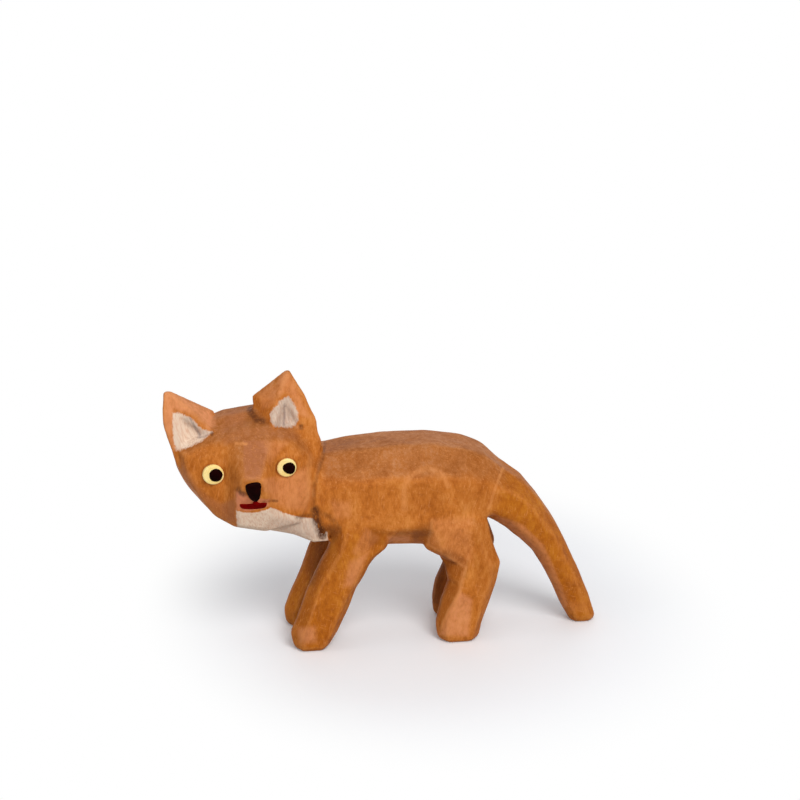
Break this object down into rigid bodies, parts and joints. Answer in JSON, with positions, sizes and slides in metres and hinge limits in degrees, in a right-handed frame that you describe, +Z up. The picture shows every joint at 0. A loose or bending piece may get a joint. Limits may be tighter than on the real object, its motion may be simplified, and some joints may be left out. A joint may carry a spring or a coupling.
{
  "type": "fox figurine",
  "caption": "Hand-carved wooden fox on four short legs, looking over its left shoulder, with the tip of its tail resting on the ground.",
  "frame": {"origin": "on the ground, under the middle of the fox's bounding box", "axes": "+X from head to tail along the body, +Y from the flank and face that the fox shows to the flank behind, +Z up"},
  "size_m": [0.1124, 0.0322, 0.0746],
  "materials": {
    "stained_wood": "knife-carved limewood, orange-brown water stain, satin wax",
    "bare_wood": "plain turned beech pins",
    "eye_yellow": "pale yellow gloss enamel",
    "black_gloss": "black gloss enamel",
    "mouth_red": "dark red satin enamel"
  },
  "bodies": {
    "root": {"torso": "stained_wood", "head": "stained_wood", "left_ear": "stained_wood", "right_ear": "stained_wood", "tail": "stained_wood", "front_left_leg": "stained_wood", "front_right_leg": "stained_wood", "hind_left_leg": "stained_wood", "hind_right_leg": "stained_wood", "left_eye": "eye_yellow", "right_eye": "eye_yellow", "left_pupil": "black_gloss", "right_pupil": "black_gloss", "nose": "black_gloss", "mouth": "mouth_red", "neck_dowel": "bare_wood", "tail_dowel": "bare_wood", "front_left_leg_dowel": "bare_wood", "front_right_leg_dowel": "bare_wood", "hind_left_leg_dowel": "bare_wood", "hind_right_leg_dowel": "bare_wood", "left_ear_peg": "bare_wood", "right_ear_peg": "bare_wood"}
  },
  "joints": []
}
